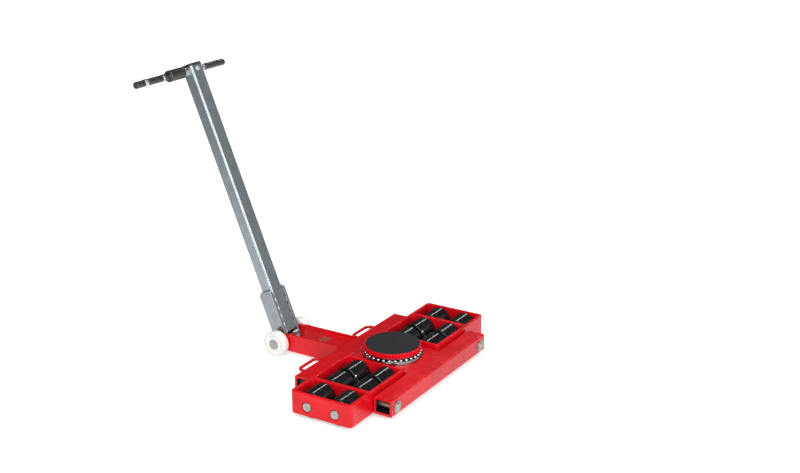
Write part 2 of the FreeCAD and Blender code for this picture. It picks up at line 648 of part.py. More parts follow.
def main():
    os.makedirs("parts", exist_ok=True)
    both = (-1, 1)
    sides = {"left": -1, "right": 1}
    save("front_beam", beam(1))
    save("rear_beam", beam(-1))
    save("bolster", bolster())
    save("king_bush", king_bush())
    save("lower_race", race(False))
    save("race_screws", [race_screw(k) for k in range(SCREW_N)])
    save("drawbar_top_plate", drawbar_top_plate())
    save("rating_plate", rating_plate())
    save("wheel_axle", wheel_axle())
    save("axle_caps", [axle_cap(s) for s in both])
    save("fork_spacers", [fork_spacer(s) for s in both])
    save("pivot_pins", [pivot_pin(s, g) for s in both for g in both])
    save("pin_rings", [pin_ring(s, g) for s in both for g in both])
    save("pin_bosses", [pin_boss(s, g) for s in both for g in both])
    save("turntable_plate", turntable_plate())
    save("load_pad", load_pad())
    save("upper_race", race(True))
    save("king_pin", king_pin())
    save("king_nut", king_nut())
    save("bearing_balls", balls())
    save("ball_cage", cage())
    for name, side in sides.items():
        save("drawbar_" + name + "_wall", drawbar_wall(side))
        save(name + "_grab_loop", grab_loop(side))
        save(name + "_unit_frame", unit_frame(side))
        save(name + "_unit_divider", cross_plate(side, DIVIDER_X, DIVIDER_T, UNIT_TOP - DIVIDER_DROP))
        save(name + "_unit_web", cross_plate(side, web_x(), WEB_T, WEB_TOP))
        save(name + "_unit_axles", [unit_axle(side, g) for g in both])
        save(name + "_pin_bushes", [pin_bush(side, g) for g in both])
        save(name + "_support_wheel", support_wheel(side))
        save(name + "_fork_plate", fork_plate(side))
        for row, sign in (("front", 1), ("rear", -1)):
            for k, centre in enumerate(roller_centres()):
                save("%s_%s_roller_%d" % (name, row, k + 1), roller(side, sign, centre))
    save("tow_tube", tow_tube())
    save("tow_cap", tow_cap())
    save("fork_tube", fork_tube())
    save("handle_bar", handle_bar())
    save("handle_sleeve", handle_sleeve())
    save("near_grips", [near_grip(NEAR_END, END_GRIP_LEN, True),
                        near_grip(COLLAR_2 + NEAR_GRIP_LEN, NEAR_GRIP_LEN, False)])
    save("handle_collars", [handle_collar(COLLAR_1, OUTER_COLLAR_LEN, COLLAR_D),
                            handle_collar(COLLAR_2, INNER_COLLAR_LEN, COLLAR_D),
                            handle_collar(SLEEVE_IN, TUBE_COLLAR_LEN, TUBE_COLLAR_D)])
    save("far_grip", far_grip())
    save("handle_bolt", handle_bolt())


main()
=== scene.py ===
import json
import math

import bmesh
import bpy
import numpy as np
from mathutils import Matrix, Vector


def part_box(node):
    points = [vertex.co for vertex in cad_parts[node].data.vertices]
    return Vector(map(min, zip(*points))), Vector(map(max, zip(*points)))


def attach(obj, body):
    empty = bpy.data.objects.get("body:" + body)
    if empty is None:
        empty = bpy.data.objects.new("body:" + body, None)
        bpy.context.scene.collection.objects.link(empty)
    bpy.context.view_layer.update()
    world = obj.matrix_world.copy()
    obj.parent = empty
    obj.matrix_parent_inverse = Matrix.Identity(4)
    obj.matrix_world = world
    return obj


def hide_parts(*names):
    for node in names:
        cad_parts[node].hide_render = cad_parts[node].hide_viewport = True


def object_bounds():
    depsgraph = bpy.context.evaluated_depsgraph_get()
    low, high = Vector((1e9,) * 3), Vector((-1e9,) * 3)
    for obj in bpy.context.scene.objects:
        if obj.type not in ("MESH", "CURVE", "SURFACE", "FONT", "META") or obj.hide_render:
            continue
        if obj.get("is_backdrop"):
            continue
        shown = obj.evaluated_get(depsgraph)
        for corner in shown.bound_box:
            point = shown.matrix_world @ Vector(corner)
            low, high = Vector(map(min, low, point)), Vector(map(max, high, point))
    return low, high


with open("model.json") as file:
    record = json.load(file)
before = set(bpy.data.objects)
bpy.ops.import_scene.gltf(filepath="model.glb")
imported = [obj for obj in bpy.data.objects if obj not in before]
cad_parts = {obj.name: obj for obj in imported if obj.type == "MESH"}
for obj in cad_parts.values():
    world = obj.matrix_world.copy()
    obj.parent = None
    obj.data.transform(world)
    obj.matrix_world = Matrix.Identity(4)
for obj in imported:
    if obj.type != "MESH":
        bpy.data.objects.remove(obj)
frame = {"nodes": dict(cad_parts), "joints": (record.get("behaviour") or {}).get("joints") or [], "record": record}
cadLow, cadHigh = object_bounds()
nodes = frame["nodes"]
jointPos = {j["name"]: np.array(j["pos_m"], float) for j in frame["joints"]}
mm = 0.001
tau = 2.0 * math.pi
sides = ("left", "right")

floorZ = cadLow.z
print("frame loaded:", len(nodes), "nodes, floor at", round(floorZ, 4))


# A patch is (points, quads, uv): arrays of n x 3 places, m x 4 indices and m x 4 x 2 surface coordinates.
# arcSteps: parts of a rounded corner; arcShare: the most that an arc takes of a side;
# upright: an axis with more rise than this counts as vertical; merge, sliver: lengths in metres
meshing = {"arcSteps": 6, "arcShare": 0.49, "upright": 0.9, "merge": 1e-7, "sliver": 1e-8}


def gridPatch(points, closeU=False, closeV=False, uvScale=(1.0, 1.0)):
    # points[i, j] on a grid; a quad joins (i, j), (i+1, j), (i+1, j+1), (i, j+1), wrapping where closed
    nu, nv = points.shape[:2]
    iu = np.arange(nu if closeU else nu - 1)
    jv = np.arange(nv if closeV else nv - 1)
    i, j = np.meshgrid(iu, jv, indexing="ij")
    i2, j2 = (i + 1) % nu, (j + 1) % nv
    quads = np.stack([i * nv + j, i2 * nv + j, i2 * nv + j2, i * nv + j2], -1).reshape(-1, 4)
    u = np.stack([i, i + 1, i + 1, i], -1).reshape(-1, 4) / max(1, len(iu)) * uvScale[0]
    v = np.stack([j, j, j + 1, j + 1], -1).reshape(-1, 4) / max(1, len(jv)) * uvScale[1]
    return points.reshape(-1, 3), quads, np.stack([u, v], -1)


def joinPatches(patches):
    points, quads, uvs, start = [], [], [], 0
    for p, q, t in patches:
        points.append(p)
        quads.append(q + start)
        uvs.append(t)
        start += len(p)
    return np.concatenate(points), np.concatenate(quads), np.concatenate(uvs)


def roundCorners(corners, radius, steps=meshing["arcSteps"], closed=True):
    # each corner of the polygon becomes an arc of the given radius, tangent to both sides
    c = np.array(corners, float)
    radii = np.full(len(c), radius) if np.isscalar(radius) else np.array(radius, float)
    out = []
    for k in range(len(c)):
        if not closed and k in (0, len(c) - 1) or radii[k] <= 0:
            out.append(c[k][None])
            continue
        a, b = c[k - 1] - c[k], c[(k + 1) % len(c)] - c[k]
        la, lb = np.linalg.norm(a), np.linalg.norm(b)
        a, b = a / la, b / lb
        half = math.acos(np.clip(a @ b, -1, 1)) / 2
        cut = min(radii[k] / math.tan(half), la * meshing["arcShare"], lb * meshing["arcShare"])
        r = cut * math.tan(half)
        hub = c[k] + (a + b) / np.linalg.norm(a + b) * r / math.sin(half)
        t = np.linspace(0, 1, steps + 1)[:, None]
        p = (c[k] + a * cut) * (1 - t) + (c[k] + b * cut) * t
        d = p - hub
        out.append(hub + d / np.linalg.norm(d, axis=1)[:, None] * r)
    return np.concatenate(out)


def axisFrame(axis):
    # the unit axis and two unit vectors square to it
    a = np.array(axis, float) / np.linalg.norm(axis)
    s = np.array([0.0, 0.0, 1.0]) if abs(a[2]) < meshing["upright"] else np.array([1.0, 0.0, 0.0])
    e = np.cross(s, a)
    e /= np.linalg.norm(e)
    return a, e, np.cross(a, e)


def turned(centre, axis, profile, segments, closed=False):
    # surface of revolution: centre + axis*along + radius*(cos t, sin t) across, for each profile point
    a, e, f = axisFrame(axis)
    p = np.array(profile, float)
    t = np.linspace(0, tau, segments, endpoint=False)
    across = np.cos(t)[:, None] * e + np.sin(t)[:, None] * f
    pts = np.array(centre) + p[None, :, :1] * a + p[None, :, 1:2] * across[:, None, :]
    length = np.linalg.norm(np.diff(p, axis=0), axis=1).sum()
    return gridPatch(pts, closeU=True, closeV=closed, uvScale=(1.0, length))


def swept(path, section, closed=False, up=(0, 0, 1), scale=None):
    # the section's two coordinates are carried along the path, square to it, the second nearest to up
    p = np.array(path, float)
    step = np.roll(p, -1, 0) - np.roll(p, 1, 0)
    if not closed:
        step[0], step[-1] = p[1] - p[0], p[-1] - p[-2]
    d = step / np.linalg.norm(step, axis=1)[:, None]
    side = np.cross(d, np.array(up, float))
    side /= np.linalg.norm(side, axis=1)[:, None]
    rise = np.cross(side, d)
    s = np.array(section, float)
    size = np.ones(len(p)) if scale is None else scale
    offset = s[None, :, :1] * side[:, None] + s[None, :, 1:2] * rise[:, None]
    pts = p[:, None, :] + size[:, None, None] * offset
    length = np.linalg.norm(np.diff(p, axis=0), axis=1).sum()
    patch = gridPatch(pts, closeU=closed, closeV=True, uvScale=(length, 1.0))
    if closed:
        return patch
    ends = [np.repeat(pts[k].mean(0)[None], len(s), 0) for k in (0, -1)]
    caps = [gridPatch(np.stack([pts[k], e]), closeV=True) for k, e in zip((0, -1), ends)]
    return joinPatches([patch] + caps)


def ring2d(radius, steps):
    t = np.linspace(0, tau, steps, endpoint=False)
    return np.stack([np.cos(t), np.sin(t)], -1) * radius


def makePiece(name, patches, body, material, replaced=(), smoothAngle=32):
    pts, quads, uvs = joinPatches(patches)
    mesh = bpy.data.meshes.new(name)
    mesh.from_pydata(pts.tolist(), [], quads.tolist())
    layer = mesh.uv_layers.new(name="along")
    layer.data.foreach_set("uv", uvs.reshape(-1))
    bm = bmesh.new()
    bm.from_mesh(mesh)
    bmesh.ops.remove_doubles(bm, verts=bm.verts, dist=meshing["merge"])
    bmesh.ops.dissolve_degenerate(bm, edges=bm.edges, dist=meshing["sliver"])
    bmesh.ops.recalc_face_normals(bm, faces=bm.faces)
    bm.to_mesh(mesh)
    bm.free()
    mesh.shade_smooth()
    mesh.set_sharp_from_angle(angle=math.radians(smoothAngle))
    mesh.materials.append(material)
    piece = bpy.data.objects.new(name, mesh)
    bpy.context.scene.collection.objects.link(piece)
    flat = piece.modifiers.new("flatFaces", "WEIGHTED_NORMAL")
    flat.keep_sharp = True
    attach(piece, body)
    if replaced:
        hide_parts(*replaced)


# Materials: node helpers first, then one function per finish.

def startMaterial(name):
    mat = bpy.data.materials.new(name)
    mat.use_nodes = True
    return mat, mat.node_tree, mat.node_tree.nodes["Principled BSDF"]


def node(tree, kind, **values):
    n = tree.nodes.new(kind)
    for key, value in values.items():
        if key in n.inputs:
            n.inputs[key].default_value = value
        else:
            setattr(n, key, value)
    return n


def coords(tree, source="Object", scale=(1, 1, 1)):
    tex = node(tree, "ShaderNodeTexCoord")
    mapping = node(tree, "ShaderNodeMapping", Scale=scale)
    tree.links.new(tex.outputs[source], mapping.inputs["Vector"])
    return mapping.outputs["Vector"]


def noise(tree, vector, scale, detail=4.0, rough=0.55):
    n = node(tree, "ShaderNodeTexNoise", Scale=scale, Detail=detail, Roughness=rough)
    tree.links.new(vector, n.inputs["Vector"])
    return n.outputs["Fac"]


def remap(tree, value, low, high, start=0.3, stop=0.7):
    n = node(tree, "ShaderNodeMapRange")
    for key, number in (("From Min", start), ("From Max", stop), ("To Min", low), ("To Max", high)):
        n.inputs[key].default_value = number
    tree.links.new(value, n.inputs["Value"])
    return n.outputs["Result"]


def blendColours(tree, value, colours, stops=(0.35, 0.65)):
    ramp = node(tree, "ShaderNodeValToRGB")
    for k, (colour, stop) in enumerate(zip(colours, stops)):
        e = ramp.color_ramp.elements[k] if k < 2 else ramp.color_ramp.elements.new(stop)
        e.position, e.color = stop, (*colour, 1)
    tree.links.new(value, ramp.inputs["Fac"])
    return ramp.outputs["Color"]


def overlay(tree, factor, base, top):
    mix = node(tree, "ShaderNodeMix", data_type="RGBA")
    factorIn, firstIn, secondIn, colourOut = mix.inputs[0], mix.inputs[6], mix.inputs[7], mix.outputs[2]
    tree.links.new(factor, factorIn)
    tree.links.new(base, firstIn)
    secondIn.default_value = (*top, 1)
    return colourOut


def bump(tree, shader, heights):
    # each entry: height socket, strength, depth in metres
    normal = None
    for height, strength, distance in heights:
        b = node(tree, "ShaderNodeBump", Strength=strength, Distance=distance)
        tree.links.new(height, b.inputs["Height"])
        if normal is not None:
            tree.links.new(normal, b.inputs["Normal"])
        normal = b.outputs["Normal"]
    tree.links.new(normal, shader.inputs["Normal"])


redPaint = {"deep": (0.59, 0.003, 0.009), "bright": (0.76, 0.005, 0.013), "chip": (0.50, 0.003, 0.007),
            "gloss": 0.32, "rough": (0.20, 0.30), "roughScale": 38.0, "cloudScale": 6.0,
            "speckScale": 140.0, "speckFrom": 0.76, "speckTo": 0.84, "speckMost": 0.5,
            "peelScale": 420.0, "peelBump": (0.05, 0.0004), "waveScale": 14.0, "waveBump": (0.03, 0.003)}


def paintMaterial():
    # gloss enamel: cloudy depth of colour, orange-peel bump, a few dull rubbed specks
    mat, tree, shader = startMaterial("redPaint")
    place = coords(tree)
    cloud = noise(tree, place, redPaint["cloudScale"])
    speck = remap(tree, noise(tree, place, redPaint["speckScale"], 6.0, 0.7), 0.0, redPaint["speckMost"],
                  redPaint["speckFrom"], redPaint["speckTo"])
    colour = blendColours(tree, cloud, (redPaint["deep"], redPaint["bright"]))
    tree.links.new(overlay(tree, speck, colour, redPaint["chip"]), shader.inputs["Base Color"])
    rough = remap(tree, noise(tree, place, redPaint["roughScale"]), *redPaint["rough"])
    tree.links.new(rough, shader.inputs["Roughness"])
    bump(tree, shader, [(noise(tree, place, redPaint["peelScale"], 2.0), *redPaint["peelBump"]),
                        (noise(tree, place, redPaint["waveScale"]), *redPaint["waveBump"])])
    shader.inputs["Specular IOR Level"].default_value = redPaint["gloss"]
    return mat


rollerFinish = {"dark": (0.005, 0.0055, 0.006), "pale": (0.012, 0.013, 0.0145), "rough": (0.11, 0.19),
                "groove": 2600.0, "round": 3.0, "lineBump": (0.015, 0.0002), "dustScale": 60.0,
                "dustBump": (0.006, 0.0005)}


def rollerMaterial():
    # hard black polymer turned on a lathe: fine lines round the axis, dust in the lines
    mat, tree, shader = startMaterial("blackRoller")
    along = coords(tree, "UV", (rollerFinish["round"], rollerFinish["groove"], 1.0))
    lines = noise(tree, along, 1.0, 3.0)
    dust = noise(tree, coords(tree), rollerFinish["dustScale"], 5.0, 0.65)
    colour = blendColours(tree, dust, (rollerFinish["dark"], rollerFinish["pale"]))
    tree.links.new(colour, shader.inputs["Base Color"])
    tree.links.new(remap(tree, lines, *rollerFinish["rough"]), shader.inputs["Roughness"])
    bump(tree, shader, [(lines, *rollerFinish["lineBump"]), (dust, *rollerFinish["dustBump"])])
    return mat


rubberFinish = {"dark": (0.016, 0.016, 0.019), "pale": (0.026, 0.026, 0.031), "rough": (0.62, 0.82),
                "gloss": 0.30, "grainScale": 900.0, "grainBump": (0.35, 0.0006), "patchScale": 22.0,
                "patchBump": (0.06, 0.002)}


def padMaterial():
    # matt rubber: pebbled grain, pale scuffs where loads have turned on it
    mat, tree, shader = startMaterial("padRubber")
    place = coords(tree)
    grain = noise(tree, place, rubberFinish["grainScale"], 2.0)
    patch = noise(tree, place, rubberFinish["patchScale"], 5.0, 0.6)
    colour = blendColours(tree, patch, (rubberFinish["dark"], rubberFinish["pale"]))
    tree.links.new(colour, shader.inputs["Base Color"])
    tree.links.new(remap(tree, patch, *rubberFinish["rough"]), shader.inputs["Roughness"])
    bump(tree, shader, [(grain, *rubberFinish["grainBump"]), (patch, *rubberFinish["patchBump"])])
    shader.inputs["Specular IOR Level"].default_value = rubberFinish["gloss"]
    return mat


# lines: tool marks per unit of the surface coordinate; streak: instead of them, marks per metre along X, Y, Z
metalFinish = {
    "turnedSteel": {"dark": (0.29, 0.29, 0.27), "pale": (0.46, 0.46, 0.44), "rough": (0.28, 0.45),
                    "lines": 2200.0},
    "raceSteel": {"dark": (0.30, 0.305, 0.31), "pale": (0.40, 0.405, 0.41), "rough": (0.13, 0.21),
                  "lines": 1800.0},
    "zincPlate": {"dark": (0.275, 0.311, 0.334), "pale": (0.348, 0.389, 0.412), "rough": (0.15, 0.25),
                  "lines": 300.0, "metallic": 0.85},
    "brightZinc": {"dark": (0.265, 0.294, 0.314), "pale": (0.33, 0.36, 0.38), "rough": (0.17, 0.27),
                   "streak": (160.0, 120.0, 90.0), "metallic": 0.85},
    "weldZinc": {"dark": (0.20, 0.215, 0.23), "pale": (0.26, 0.28, 0.295), "rough": (0.50, 0.65),
                 "streak": (160.0, 120.0, 90.0), "metallic": 0.85},
    # near-black steel for dark parts, and also the painted shade of the beam-end skins
    "darkSteelAndShade": {"dark": (0.03, 0.03, 0.03), "pale": (0.07, 0.07, 0.07), "rough": (0.4, 0.6),
                  "streak": (80.0, 80.0, 80.0)},
    "bronze": {"dark": (0.42, 0.27, 0.11), "pale": (0.58, 0.39, 0.18), "rough": (0.3, 0.5), "lines": 1500.0},
    "chrome": {"dark": (0.72, 0.72, 0.72), "pale": (0.82, 0.82, 0.82), "rough": (0.06, 0.14), "lines": 900.0},
    "collarSteel": {"dark": (0.80, 0.80, 0.80), "pale": (0.88, 0.88, 0.88), "rough": (0.30, 0.40),
                    "lines": 900.0},
    "ballSteel": {"dark": (0.62, 0.62, 0.63), "pale": (0.70, 0.70, 0.71), "rough": (0.05, 0.10),
                  "lines": 400.0}}
metalMarks = {"round": 2.0, "cloudScale": 30.0, "stops": (0.30, 0.70), "markBump": (0.12, 0.0002),
              "cloudBump": (0.03, 0.001)}


def metalMaterial(name, finish):
    # bare metal: fine tool lines along one direction, soft tarnish clouds
    mat, tree, shader = startMaterial(name)
    if "streak" in finish:
        mark = noise(tree, coords(tree, "Object", finish["streak"]), 1.0, 4.0)
    else:
        mark = noise(tree, coords(tree, "UV", (metalMarks["round"], finish["lines"], 1.0)), 1.0, 3.0)
    cloud = noise(tree, coords(tree), metalMarks["cloudScale"], 5.0, 0.6)
    colour = blendColours(tree, cloud, (finish["dark"], finish["pale"]), metalMarks["stops"])
    tree.links.new(colour, shader.inputs["Base Color"])
    tree.links.new(remap(tree, mark, *finish["rough"]), shader.inputs["Roughness"])
    bump(tree, shader, [(mark, *metalMarks["markBump"]), (cloud, *metalMarks["cloudBump"])])
    shader.inputs["Metallic"].default_value = finish.get("metallic", 1.0)
    return mat


plasticFinish = {
    "whiteNylon": {"dark": (0.86, 0.86, 0.83), "pale": (0.92, 0.92, 0.89), "rough": (0.38, 0.55),
                   "grain": 700.0, "strength": 0.10, "gloss": 0.5},
    "blackGrip": {"dark": (0.017, 0.017, 0.018), "pale": (0.029, 0.029, 0.031), "rough": (0.17, 0.26),
                  "grain": 1200.0, "strength": 0.10, "gloss": 0.95},
    "darkCap": {"dark": (0.020, 0.020, 0.024), "pale": (0.038, 0.038, 0.042), "rough": (0.45, 0.62),
                "grain": 1200.0, "strength": 0.25, "gloss": 0.5},
    "blankLabel": {"dark": (0.32, 0.030, 0.018), "pale": (0.42, 0.060, 0.034), "rough": (0.35, 0.55),
                   "grain": 500.0, "strength": 0.10, "gloss": 0.5}}
plasticMarks = {"mottleScale": 45.0, "grainDepth": 0.0004}


def plasticMaterial(name, finish):
    # moulded plastic: slight mottling and a fine spark-eroded grain
    mat, tree, shader = startMaterial(name)
    place = coords(tree)
    mottle = noise(tree, place, plasticMarks["mottleScale"], 5.0, 0.6)
    fine = noise(tree, place, finish["grain"], 2.0)
    colour = blendColours(tree, mottle, (finish["dark"], finish["pale"]))
    tree.links.new(colour, shader.inputs["Base Color"])
    tree.links.new(remap(tree, mottle, *finish["rough"]), shader.inputs["Roughness"])
    bump(tree, shader, [(fine, finish["strength"], plasticMarks["grainDepth"])])
    shader.inputs["Specular IOR Level"].default_value = finish["gloss"]
    return mat


red = paintMaterial()
blackRoller = rollerMaterial()
padRubber = padMaterial()
metals = {name: metalMaterial(name, finish) for name, finish in metalFinish.items()}
plastics = {name: plasticMaterial(name, finish) for name, finish in plasticFinish.items()}
turnedSteel, raceSteel, chrome = metals["turnedSteel"], metals["raceSteel"], metals["chrome"]
whiteNylon, blackGrip = plastics["whiteNylon"], plastics["blackGrip"]
print("materials made")

slotMaterial = {"red_paint": red, "roller_black": blackRoller, "pad_rubber": padRubber,
                "bare_steel": turnedSteel, "race_steel": raceSteel, "dark_steel": metals["darkSteelAndShade"],
                "ball_steel": metals["ballSteel"], "bronze": metals["bronze"], "white_nylon": whiteNylon,
                "zinc": metals["zincPlate"], "bright_zinc": metals["brightZinc"], "chrome": chrome,
                "dark_cap": plastics["darkCap"], "black_grip": blackGrip,
                "blank_label": plastics["blankLabel"]}
slotOf = {s["node"]: s["material_slot"] for s in frame["record"]["subparts"]}
for name, obj in nodes.items():
    obj.data.materials.clear()
    obj.data.materials.append(slotMaterial[slotOf[name]])
# the fork's tube and spacers on the wheel axle look bright
for name in ("fork_tube", "fork_spacers"):
    nodes[name].data.materials[0] = chrome


def middle(nodeName):
    low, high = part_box(nodeName)
    return np.array((low + high) / 2), np.array(high - low)


# Rollers: turned polymer with rounded rims, a dished end face and a bearing ring round the axle.
roller = {"rim": 4.0 * mm, "boreRadius": 14.1 * mm, "bearingRadius": 21.0 * mm, "dish": 1.6 * mm,
          "dishRadius": 32.0 * mm, "slope": 1.5 * mm, "groove": 0.6 * mm, "boreEdge": 0.4 * mm,
          "grooveEdge": 0.3 * mm, "dishEdge": 0.8 * mm, "faceEdge": 0.5 * mm, "segments": 96}


def rollerPatch(centre, size):
    # half profile from bore to crown, mirrored along the axis, closed through the bore
    half, r = size[0] / 2, size[2] / 2
    sunk, deep = half - roller["dish"], half - 2 * roller["dish"]
    bore, bearing, dish = roller["boreRadius"], roller["bearingRadius"], roller["dishRadius"]
    corners = [(deep, bore), (sunk, bore), (sunk, bearing), (deep, bearing + roller["groove"]),
               (sunk, bearing + 2 * roller["groove"]), (sunk, dish), (half, dish + roller["slope"]),
               (half, r), (0, r)]
    radii = [0, roller["boreEdge"], roller["grooveEdge"], 0, roller["grooveEdge"], roller["dishEdge"],
             roller["faceEdge"], roller["rim"], 0]
    end = roundCorners(corners, radii, closed=False)
    other = end[::-1] * (-1, 1)
    return turned(centre, (1, 0, 0), np.concatenate([end[:-1], other]), roller["segments"], closed=True)


for name in sorted(n for n in nodes if "_roller_" in n):
    centre, size = middle(name)
    makePiece(name + "_turned", [rollerPatch(centre, size)], name, blackRoller, [name])
print("rollers turned")


# Turntable: rubber pad, red plate, two ground rings with a ball track, balls.
turntable = {"segments": 160, "padEdge": 1.2 * mm, "plateEdge": 1.8 * mm, "underShare": 0.4}


def discPatch(nodeName, edge):
    # lower centre, out along the bottom, up the rim with rounded edges, back along the top
    centre, size = middle(nodeName)
    r, h = max(size[:2]) / 2, size[2] / 2
    profile = roundCorners([(-h, 0), (-h, r), (h, r), (h, 0)], [0, edge * turntable["underShare"], edge, 0],
                           closed=False)
    return turned(centre, (0, 0, 1), profile, turntable["segments"])


makePiece("load_pad_disc", [discPatch("load_pad", turntable["padEdge"])], "turntable",
          padRubber, ["load_pad"])
makePiece("turntable_disc", [discPatch("turntable_plate", turntable["plateEdge"])], "turntable",
          red, ["turntable_plate"])
race = {"inner": 60.0 * mm, "ballRadius": 5.5 * mm, "gap": 0.3 * mm, "count": 30, "edge": 0.9 * mm,
        "bevelIn": 1.9 * mm, "bevelDown": 5.0 * mm, "lipShare": 0.2, "grooveSteps": 13, "ballSteps": 15,
        "ballSegments": 28}
ballCentre, ballSpan = middle("bearing_balls")
race["track"] = ballSpan[0] / 2 - race["ballRadius"]


def racePatch(nodeName, facing):
    # closed ring section: rectangle with a round groove cut in the face that looks at the balls
    low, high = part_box(nodeName)
    face, back = (high.z, low.z) if facing > 0 else (low.z, high.z)
    r = race["ballRadius"] + race["gap"]
    depth = abs(ballCentre[2] - face)
    span = math.acos(depth / r)
    t = np.linspace(-span, span, race["grooveSteps"])
    groove = np.stack([ballCentre[2] - facing * r * np.cos(t), race["track"] + r * np.sin(t)], -1)
    e = race["edge"]
    outer = high.x
    groove = groove[groove[:, 1] < outer - e]
    lip = groove[-1, 0]
    if groove[-1, 1] < outer - 2 * e and facing > 0:
        bevel = [(face, outer - race["bevelIn"]), (face - facing * race["bevelDown"], outer)]
        groove = np.concatenate([groove, bevel])
    else:
        groove = np.concatenate([groove, [(lip - facing * race["lipShare"] * e, outer)]])
    ring = [(back, race["inner"]), (face, race["inner"]), *groove, (back + facing * e, outer),
            (back, outer - e)]
    return turned((0, 0, 0), (0, 0, 1), ring, turntable["segments"], closed=True)


makePiece("lower_race_ring", [racePatch("lower_race", 1)], "chassis", raceSteel, ["lower_race"])
makePiece("upper_race_ring", [racePatch("upper_race", -1)], "turntable", raceSteel,
          ["upper_race"])


def ballPatch(angle):
    # half circle from pole to pole, turned about the vertical
    t = np.linspace(0, math.pi, race["ballSteps"])
    r = race["ballRadius"]
    profile = np.stack([-r * np.cos(t), r * np.sin(t)], -1)
    place = (race["track"] * math.cos(angle), race["track"] * math.sin(angle), ballCentre[2])
    return turned(place, (0, 0, 1), profile, race["ballSegments"])


makePiece("bearing_ball_set", [ballPatch(tau * k / race["count"]) for k in range(race["count"])], "ball_ring",
          metals["ballSteel"], ["bearing_balls"])
print("turntable and race made")


# Pivot pins of the rocking units, their rings, and the roller axles with centre-drilled ends.
pinShape = {"radius": 12.0 * mm, "chamfer": 1.5 * mm, "drill": 2.4 * mm, "drillDepth": 1.6 * mm,
            "inside": 11.0 * mm, "ringRadius": 18.0 * mm, "ringEdge": 0.8 * mm, "edgeSteps": 4,
            "axleChamfer": 0.8 * mm, "segments": 64}


def shaftPatch(start, stop, radius, chamfer):
    # solid shaft from start to stop: centre-drill cone, flat end, chamfer, side, and the same mirrored
    start, stop = np.array(start, float), np.array(stop, float)
    length = np.linalg.norm(stop - start)
    half = [(pinShape["drillDepth"], 0), (0, pinShape["drill"]), (0, radius - chamfer), (chamfer, radius)]
    profile = half + [(length - a, r) for a, r in half[::-1]]
    return turned(start, stop - start, profile, pinShape["segments"])


def ringPatch(start, stop, outer, inner, edge):
    # washer or collar: closed rectangular section with rounded edges, turned about the line start to stop
    start, stop = np.array(start, float), np.array(stop, float)
    length = np.linalg.norm(stop - start)
    section = roundCorners([(0, inner), (length, inner), (length, outer), (0, outer)], edge,
                           pinShape["edgeSteps"])
    return turned(start, stop - start, section, pinShape["segments"], closed=True)


def acrossFrom(place, y):
    return place[0], y, place[2]


pinOuter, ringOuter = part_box("pivot_pins")[1].y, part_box("pin_rings")[1].y
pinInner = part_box("left_unit_frame")[1].y - pinShape["inside"]
beamLow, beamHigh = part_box("front_beam")
pins, pinRings = [], []
for place in (jointPos["left_unit_rock"], jointPos["right_unit_rock"]):
    for sign in (-1, 1):
        pins.append(shaftPatch(acrossFrom(place, sign * pinInner), acrossFrom(place, sign * pinOuter),
                               pinShape["radius"], pinShape["chamfer"]))
        pinRings.append(ringPatch(acrossFrom(place, sign * beamHigh.y), acrossFrom(place, sign * ringOuter),
                                  pinShape["ringRadius"], pinShape["radius"], pinShape["ringEdge"]))
makePiece("pivot_pin_set", pins, "chassis", turnedSteel, ["pivot_pins"])
makePiece("pin_ring_set", pinRings, "chassis", turnedSteel, ["pin_rings"])
for side in sides:
    low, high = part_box(side + "_unit_axles")
    radius = (high.z - low.z) / 2
    z = low.z + radius
    axles = [shaftPatch((low.x, y, z), (high.x, y, z), radius, pinShape["axleChamfer"])
             for y in (low.y + radius, high.y - radius)]
    makePiece(side + "_axle_pair", axles, side + "_unit", turnedSteel, [side + "_unit_axles"])
print("pins and axles made")


# Support wheels: crowned tread, rounded shoulders, dished outer face with a raised hub.
wheel = {"crown": 0.6 * mm, "crownRadius": 200 * mm, "shoulder": 7.0 * mm, "dish": 3.0 * mm,
         "dishRadius": 30.0 * mm, "hubRadius": 19.0 * mm, "slope": 2 * mm, "bore": 10.05 * mm,
         "hubLength": 3.7 * mm, "boreEdge": 0.6 * mm, "faceEdge": 1.2 * mm, "dishEdge": 1.5 * mm,
         "innerEdge": 1.0 * mm, "hubEdge": 0.8 * mm, "hubBoreEdge": 0.5 * mm, "segments": 96}
axleCap = {"length": 4.0 * mm, "edge": 1.8 * mm, "sunk": 0.6 * mm, "sunkRadius": 5 * mm, "edgeSteps": 8,
           "segments": 64}


def wheelPatch(centre, size, side):
    # closed section from the bore over the outer face, the crowned tread and the inner hub back to the bore
    r = size[2] / 2
    inner, outer = -size[0] / 2, size[0] / 2
    tread, sunk = inner + wheel["hubLength"], outer - wheel["dish"]
    bore, hub, dish = wheel["bore"], wheel["hubRadius"], wheel["dishRadius"]
    corners = [(outer, bore), (outer, hub), (sunk, hub + wheel["slope"]), (sunk, dish - wheel["slope"]),
               (outer, dish), (outer, r - wheel["crown"]), ((outer + tread) / 2, r),
               (tread, r - wheel["crown"]), (tread, hub), (inner, hub), (inner, bore)]
    radii = [wheel["boreEdge"], wheel["faceEdge"], wheel["dishEdge"], wheel["dishEdge"], wheel["faceEdge"],
             wheel["shoulder"], wheel["crownRadius"], wheel["shoulder"], wheel["innerEdge"], wheel["hubEdge"],
             wheel["hubBoreEdge"]]
    return turned(centre, (side, 0, 0), roundCorners(corners, radii), wheel["segments"], closed=True)


def capPatch(centre, side, face, radius):
    # flat back, side, quarter-round edge, and a shallow recess in the middle of the front
    length, edge = axleCap["length"], axleCap["edge"]
    t = np.linspace(0, math.pi / 2, axleCap["edgeSteps"])
    dome = np.stack([length - edge + edge * np.sin(t), radius - edge + edge * np.cos(t)], -1)
    floor = length - axleCap["sunk"]
    profile = [(0, 0), (0, radius), *dome, (floor, axleCap["sunkRadius"]), (floor, 0)]
    return turned((face, centre[1], centre[2]), (side, 0, 0), profile, axleCap["segments"])


